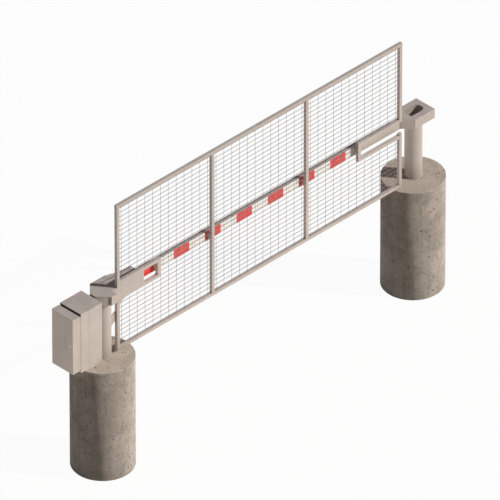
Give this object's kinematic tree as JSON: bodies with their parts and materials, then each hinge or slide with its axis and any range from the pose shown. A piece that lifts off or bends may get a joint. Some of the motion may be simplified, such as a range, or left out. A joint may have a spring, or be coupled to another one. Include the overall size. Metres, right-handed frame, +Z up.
{
  "type": "drop arm pivot gate",
  "caption": "Vehicle barrier: a crash beam with a framed mesh leaf that turns up about the head of one post and rests against a catch post.",
  "frame": {"origin": "centre of the left footing's underside, on the axis of the pivot post", "axes": "+X from the pivot post to the catch post, +Y from the mesh leaf to the beam, +Z up"},
  "size_m": [7.3218, 0.9142, 4.2977],
  "materials": {
    "concrete": "rough cast concrete with pits and water streaks",
    "paint": "matt warm grey paint",
    "mesh_steel": "galvanised and painted wire",
    "steel": "plain machined steel",
    "machine": "machine enamel",
    "brass": "plain bearing bronze",
    "rubber": "moulded rubber",
    "red_sheet": "red reflective sheet",
    "white_sheet": "white reflective sheet",
    "plastic": "moulded plastic case"
  },
  "bodies": {
    "frame": {"left_footing": "concrete", "right_footing": "concrete", "left_post": "paint", "right_post": "paint", "catch_head": "paint", "pivot_saddle": "paint", "saddle_rib": "paint", "bearing_pedestal": "paint", "pivot_bush": "brass", "stop_bracket": "paint", "stop_bumper": "rubber", "cabinet_sides": "paint", "cabinet_ends": "paint", "cabinet_back": "paint", "cabinet_front": "paint", "cabinet_brackets": "paint", "cabinet_bolts": "steel", "gearbox_shelf": "steel", "gearbox": "machine", "drive_motor": "machine", "control_unit": "plastic", "conduit_hub": "steel", "door_seal": "rubber", "hinge_fixed_leaves": "paint", "hinge_pins": "steel"},
    "arm": {"arm_root": "paint", "root_base_plate": "paint", "pivot_shaft": "steel", "thrust_washers": "steel", "drive_lug": "paint", "lug_pin": "steel", "crash_beam": "paint", "red_sheets": "red_sheet", "white_sheets": "white_sheet", "left_bracket": "paint", "right_bracket_upright": "paint", "right_bracket_upper_bar": "paint", "right_bracket_lower_bar": "paint", "top_rail": "paint", "bottom_rail": "paint", "left_stile": "paint", "middle_stiles": "paint", "right_stile": "paint", "frame_caps": "paint", "mesh_left": "mesh_steel", "mesh_middle": "mesh_steel", "mesh_right": "mesh_steel", "spacer_pads": "paint", "lock_guide": "steel", "lock_actuator": "machine"},
    "lock": {"lock_bolt": "steel"},
    "door": {"door_shell": "paint", "hinge_door_leaves": "paint", "latch_barrel": "steel"},
    "latch": {"latch_cam": "steel"},
    "crank": {"output_shaft": "steel", "drive_crank": "machine", "crank_pin": "steel"},
    "link": {"link_rod": "steel"}
  },
  "joints": [
    {"name": "arm_lift", "type": "hinge", "parent": "frame", "child": "arm", "pos_m": [-0.117, 0, 2.8829], "axis": [0, -1, 0], "range_deg": [0, 90]},
    {"name": "lock_slide", "type": "slide", "parent": "arm", "child": "lock", "axis": [1, 0, 0], "range_m": [0, 0.1]},
    {"name": "door_swing", "type": "hinge", "parent": "frame", "child": "door", "pos_m": [-0.6221, 0.2097, 2.4253], "axis": [0, 0, -1], "range_deg": [0, 110]},
    {"name": "latch_turn", "type": "hinge", "parent": "door", "child": "latch", "pos_m": [-0.7666, -0.1422, 2.4253], "axis": [1, 0, 0], "range_deg": [0, 90]},
    {"name": "crank_turn", "type": "hinge", "parent": "frame", "child": "crank", "pos_m": [-0.421, 0, 2.1559], "axis": [0, -1, 0], "range_deg": [0, 90]},
    {"name": "link_swing", "type": "hinge", "parent": "crank", "child": "link", "pos_m": [-0.3385, 0, 1.9909], "axis": [0, -1, 0], "range_deg": [-90, 0]}
  ],
  "couplings": [
    {"joint": "crank_turn", "follows": "arm_lift", "ratio": 1},
    {"joint": "link_swing", "follows": "arm_lift", "ratio": -1}
  ]
}
